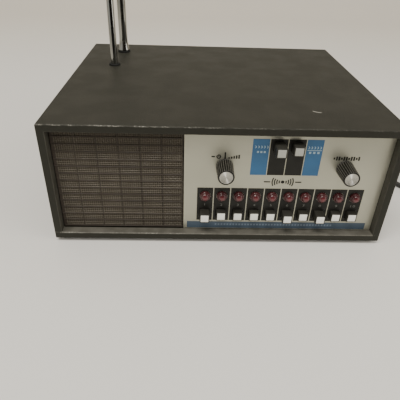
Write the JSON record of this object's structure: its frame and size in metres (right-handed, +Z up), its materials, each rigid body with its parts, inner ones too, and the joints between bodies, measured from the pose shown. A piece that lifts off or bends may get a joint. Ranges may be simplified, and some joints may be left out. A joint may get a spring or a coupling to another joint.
{
  "type": "desktop radio scanner receiver",
  "caption": "Low box-shaped desktop scanner receiver with a speaker grille, lamp and push-button row, rotary knobs, pull-out antennas and a coiled mains cord.",
  "frame": {"origin": "on the table, under the middle of the cabinet", "axes": "+X to the right seen from the front, -Y towards the person using it, +Z up"},
  "size_m": [0.3962, 0.2968, 0.241],
  "materials": {
    "vinyl_board": "dark olive grey vinyl skin with a fine leather grain over board, satin, worn pale along the front edges",
    "rubber": "matt black moulded rubber",
    "satin_aluminium": "warm grey satin sheet with black, blue and white print",
    "black_plastic": "moulded black plastic, satin",
    "bronze_screen": "fine woven brown and bronze screen",
    "red_lens": "clear deep red moulding, glossy",
    "white_button": "white face in a black moulded body, slightly yellowed",
    "chrome": "bright plated brass tube",
    "zinc_steel": "zinc plated steel",
    "circuit_board": "brown phenolic board with fitted components",
    "paper_cone": "pressed dark paper",
    "iron_core": "varnished iron laminations and ferrite",
    "insulator": "grey insulating moulding",
    "cord_rubber": "matt dark cord jacket"
  },
  "bodies": {
    "receiver": {"antenna_jack": "chrome", "antenna_mount": "insulator", "cabinet_bottom": "vinyl_board", "cabinet_left": "vinyl_board", "cabinet_right": "vinyl_board", "cabinet_top": "vinyl_board", "channel_switch_bank": "insulator", "chassis": "zinc_steel", "cord_coil": "cord_rubber", "crystal_row": "zinc_steel", "external_speaker_jack": "zinc_steel", "foot_front_left": "rubber", "foot_front_right": "rubber", "foot_rear_left": "rubber", "foot_rear_right": "rubber", "front_antenna_base": "chrome", "front_antenna_grommet": "rubber", "front_panel": "satin_aluminium", "function_switch": "insulator", "lamp_board": "circuit_board", "lamp_lens_strip": "red_lens", "main_board": "circuit_board", "plug": "cord_rubber", "power_cord": "cord_rubber", "power_cord_tail": "cord_rubber", "power_transformer": "iron_core", "rear_antenna_base": "chrome", "rear_antenna_grommet": "rubber", "rear_panel": "black_plastic", "speaker_cone": "paper_cone", "speaker_frame": "zinc_steel", "speaker_grille": "black_plastic", "speaker_magnet": "iron_core", "speaker_screen": "bronze_screen", "squelch_control": "zinc_steel", "strain_relief": "rubber", "volume_control": "zinc_steel"},
    "channel_button_1": {"channel_button_1": "white_button"},
    "channel_button_2": {"channel_button_2": "white_button"},
    "channel_button_3": {"channel_button_3": "white_button"},
    "channel_button_4": {"channel_button_4": "white_button"},
    "channel_button_5": {"channel_button_5": "white_button"},
    "channel_button_6": {"channel_button_6": "white_button"},
    "channel_button_7": {"channel_button_7": "white_button"},
    "channel_button_8": {"channel_button_8": "white_button"},
    "channel_button_9": {"channel_button_9": "white_button"},
    "channel_button_10": {"channel_button_10": "white_button"},
    "channel_select_button": {"channel_select_button": "white_button"},
    "scan_manual_button": {"scan_manual_button": "white_button"},
    "volume": {"volume_knob": "black_plastic", "volume_shaft": "zinc_steel"},
    "squelch": {"squelch_knob": "black_plastic", "squelch_shaft": "zinc_steel"},
    "front_antenna_section_1": {"front_antenna_section_1": "chrome"},
    "front_antenna_section_2": {"front_antenna_section_2": "chrome"},
    "front_antenna_section_3": {"front_antenna_section_3": "chrome"},
    "rear_antenna_section_1": {"rear_antenna_section_1": "chrome"},
    "rear_antenna_section_2": {"rear_antenna_section_2": "chrome"},
    "rear_antenna_section_3": {"rear_antenna_section_3": "chrome"},
    "rear_antenna_section_4": {"rear_antenna_section_4": "chrome"}
  },
  "joints": [
    {"name": "channel_1_press", "type": "slide", "parent": "receiver", "child": "channel_button_1", "axis": [0, 1, 0], "range_m": [0, 0.0031]},
    {"name": "channel_2_press", "type": "slide", "parent": "receiver", "child": "channel_button_2", "axis": [0, 1, 0], "range_m": [-0.0031, 0]},
    {"name": "channel_3_press", "type": "slide", "parent": "receiver", "child": "channel_button_3", "axis": [0, 1, 0], "range_m": [-0.0031, 0]},
    {"name": "channel_4_press", "type": "slide", "parent": "receiver", "child": "channel_button_4", "axis": [0, 1, 0], "range_m": [-0.0031, 0]},
    {"name": "channel_5_press", "type": "slide", "parent": "receiver", "child": "channel_button_5", "axis": [0, 1, 0], "range_m": [-0.0031, 0]},
    {"name": "channel_6_press", "type": "slide", "parent": "receiver", "child": "channel_button_6", "axis": [0, 1, 0], "range_m": [0, 0.0031]},
    {"name": "channel_7_press", "type": "slide", "parent": "receiver", "child": "channel_button_7", "axis": [0, 1, 0], "range_m": [-0.0031, 0]},
    {"name": "channel_8_press", "type": "slide", "parent": "receiver", "child": "channel_button_8", "axis": [0, 1, 0], "range_m": [0, 0.0031]},
    {"name": "channel_9_press", "type": "slide", "parent": "receiver", "child": "channel_button_9", "axis": [0, 1, 0], "range_m": [-0.0031, 0]},
    {"name": "channel_10_press", "type": "slide", "parent": "receiver", "child": "channel_button_10", "axis": [0, 1, 0], "range_m": [-0.0031, 0]},
    {"name": "channel_select_press", "type": "slide", "parent": "receiver", "child": "channel_select_button", "axis": [0, 1, 0], "range_m": [0, 0.003], "stiffness_N_per_m": 250, "springref_m": -0.001},
    {"name": "scan_manual_press", "type": "slide", "parent": "receiver", "child": "scan_manual_button", "axis": [0, 1, 0], "range_m": [-0.003, 0]},
    {"name": "volume_turn", "type": "hinge", "parent": "receiver", "child": "volume", "pos_m": [0.0011, -0.1208, 0.0648], "axis": [0, 1, 0], "range_deg": [0, 300]},
    {"name": "squelch_turn", "type": "hinge", "parent": "receiver", "child": "squelch", "pos_m": [0.0889, -0.1208, 0.0648], "axis": [0, 1, 0], "range_deg": [0, 300]},
    {"name": "front_antenna_slide_1", "type": "slide", "parent": "receiver", "child": "front_antenna_section_1", "axis": [0, 0, 1], "range_m": [0, 0.117]},
    {"name": "front_antenna_slide_2", "type": "slide", "parent": "front_antenna_section_1", "child": "front_antenna_section_2", "axis": [0, 0, 1], "range_m": [0, 0.12]},
    {"name": "front_antenna_slide_3", "type": "slide", "parent": "front_antenna_section_2", "child": "front_antenna_section_3", "axis": [0, 0, 1], "range_m": [0, 0.123]},
    {"name": "rear_antenna_slide_1", "type": "slide", "parent": "receiver", "child": "rear_antenna_section_1", "axis": [0, 0, 1], "range_m": [0, 0.149]},
    {"name": "rear_antenna_slide_2", "type": "slide", "parent": "rear_antenna_section_1", "child": "rear_antenna_section_2", "axis": [0, 0, 1], "range_m": [0, 0.152]},
    {"name": "rear_antenna_slide_3", "type": "slide", "parent": "rear_antenna_section_2", "child": "rear_antenna_section_3", "axis": [0, 0, 1], "range_m": [0, 0.155]},
    {"name": "rear_antenna_slide_4", "type": "slide", "parent": "rear_antenna_section_3", "child": "rear_antenna_section_4", "axis": [0, 0, 1], "range_m": [0, 0.158]}
  ]
}
